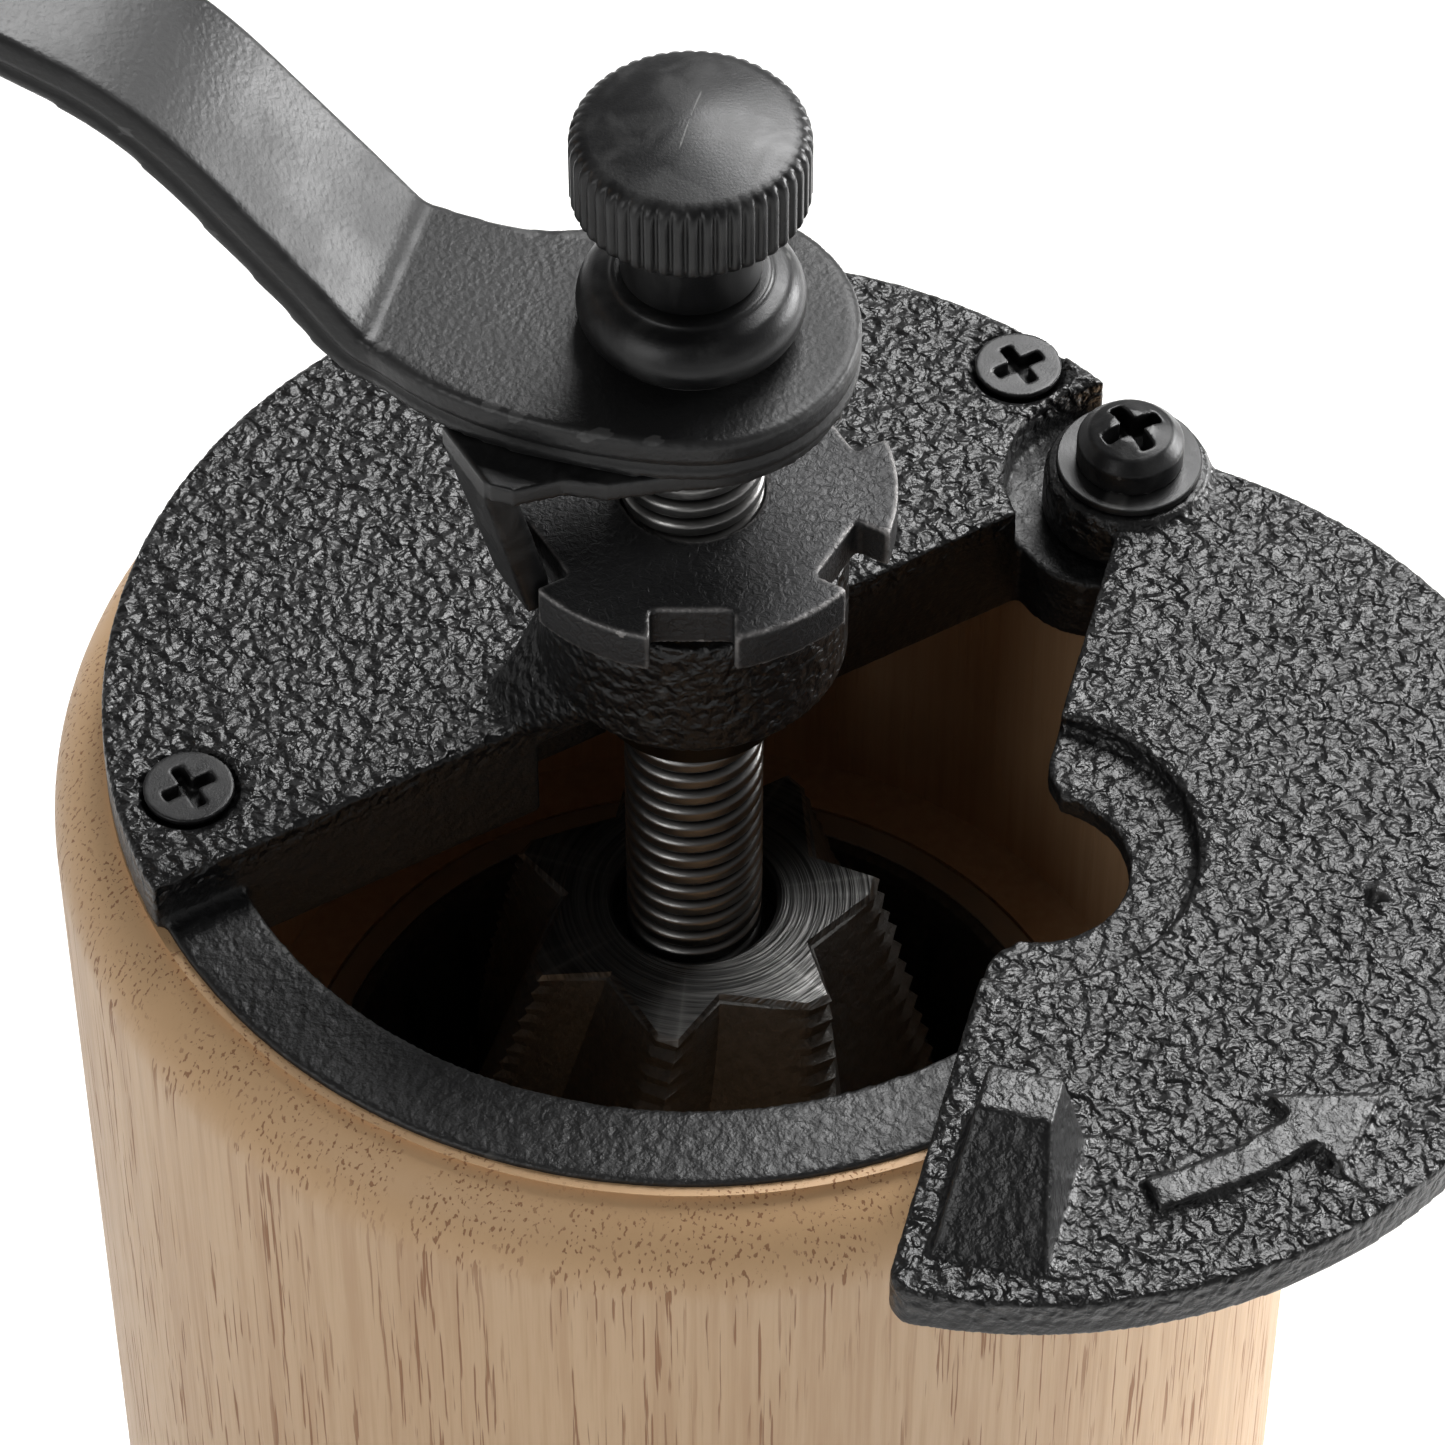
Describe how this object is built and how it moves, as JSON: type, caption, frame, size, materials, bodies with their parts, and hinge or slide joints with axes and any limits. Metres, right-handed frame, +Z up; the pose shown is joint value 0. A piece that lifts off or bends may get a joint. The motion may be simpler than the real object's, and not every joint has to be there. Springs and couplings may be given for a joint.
{
  "type": "hand crank coffee grinder",
  "caption": "Round wooden column mill with a cast iron top, a swinging half lid over the hopper, a crank on a threaded shaft and a conical burr.",
  "frame": {"origin": "centre of the pad on the underside of the cup, on the shaft's axis", "axes": "+Z up along the shaft, +Y towards the closed half of the cast top, +X towards the lid's pivot"},
  "size_m": [0.1369, 0.1507, 0.2591],
  "materials": {
    "body_wood": "satin oiled light hardwood",
    "cast_black": "gloss black stoved paint over a coarse casting",
    "black_paint": "satin black, fine leather grain",
    "black_steel": "black oxide",
    "dark_iron": "satin dark grey, worn edges",
    "steel": "turned steel",
    "burr_iron": "machined on top, cast on the flanks",
    "light_metal": "die cast, matt",
    "bronze": "turned bronze",
    "rubber": "matt black"
  },
  "bodies": {
    "cup": {"grounds_cup": "body_wood", "base_pad": "rubber", "cup_ring": "light_metal", "cup_seal": "rubber"},
    "mill_body": {"wood_body": "body_wood", "socket_ring": "light_metal", "top_plate": "cast_black", "hub_bushing": "bronze", "plate_screws": "black_steel", "thrust_washer": "bronze", "lid_screw": "black_steel", "lid_washer": "black_steel", "burr_holder": "light_metal", "holder_screws": "steel", "outer_burr": "burr_iron", "lower_bushing": "bronze"},
    "swing_lid": {"lid": "cast_black"},
    "setting_nut": {"adjusting_nut": "dark_iron"},
    "spindle": {"shaft": "steel", "lock_plate": "black_steel", "crank_arm": "black_paint", "grip_spindle": "steel", "grip_washer": "steel", "inner_burr": "burr_iron", "burr_washer": "steel", "burr_nut": "steel"},
    "crank_collar": {"collar": "black_steel"},
    "top_nut": {"thumb_nut": "black_steel"},
    "hand_grip": {"grip": "body_wood"}
  },
  "joints": [
    {"name": "body_lift", "type": "slide", "parent": "cup", "child": "mill_body", "axis": [0, 0, 1], "range_m": [0, 0.05]},
    {"name": "lid_swing", "type": "hinge", "parent": "mill_body", "child": "swing_lid", "pos_m": [0.0373, 0.0014, 0.152], "axis": [0, 0, 1], "range_deg": [-45, 30]},
    {"name": "crank_spin", "type": "hinge", "parent": "mill_body", "child": "setting_nut", "pos_m": [0, 0, 0.152], "axis": [0, 0, 1], "continuous": true},
    {"name": "grind_setting", "type": "slide", "parent": "setting_nut", "child": "spindle", "axis": [0, 0, 1], "range_m": [-0.0008, 0.0008]},
    {"name": "collar_rise", "type": "slide", "parent": "spindle", "child": "crank_collar", "axis": [0, 0, 1], "range_m": [0, 0.0045]},
    {"name": "thumb_nut_turn", "type": "hinge", "parent": "crank_collar", "child": "top_nut", "pos_m": [0, 0, 0.197], "axis": [0, 0, 1], "range_deg": [0, 1440]},
    {"name": "grip_spin", "type": "hinge", "parent": "spindle", "child": "hand_grip", "pos_m": [-0.0736, 0.07489, 0.218], "axis": [0, 0, 1], "continuous": true}
  ],
  "couplings": [
    {"joint": "collar_rise", "follows": "thumb_nut_turn", "m_per_rad": 0.00015915}
  ]
}
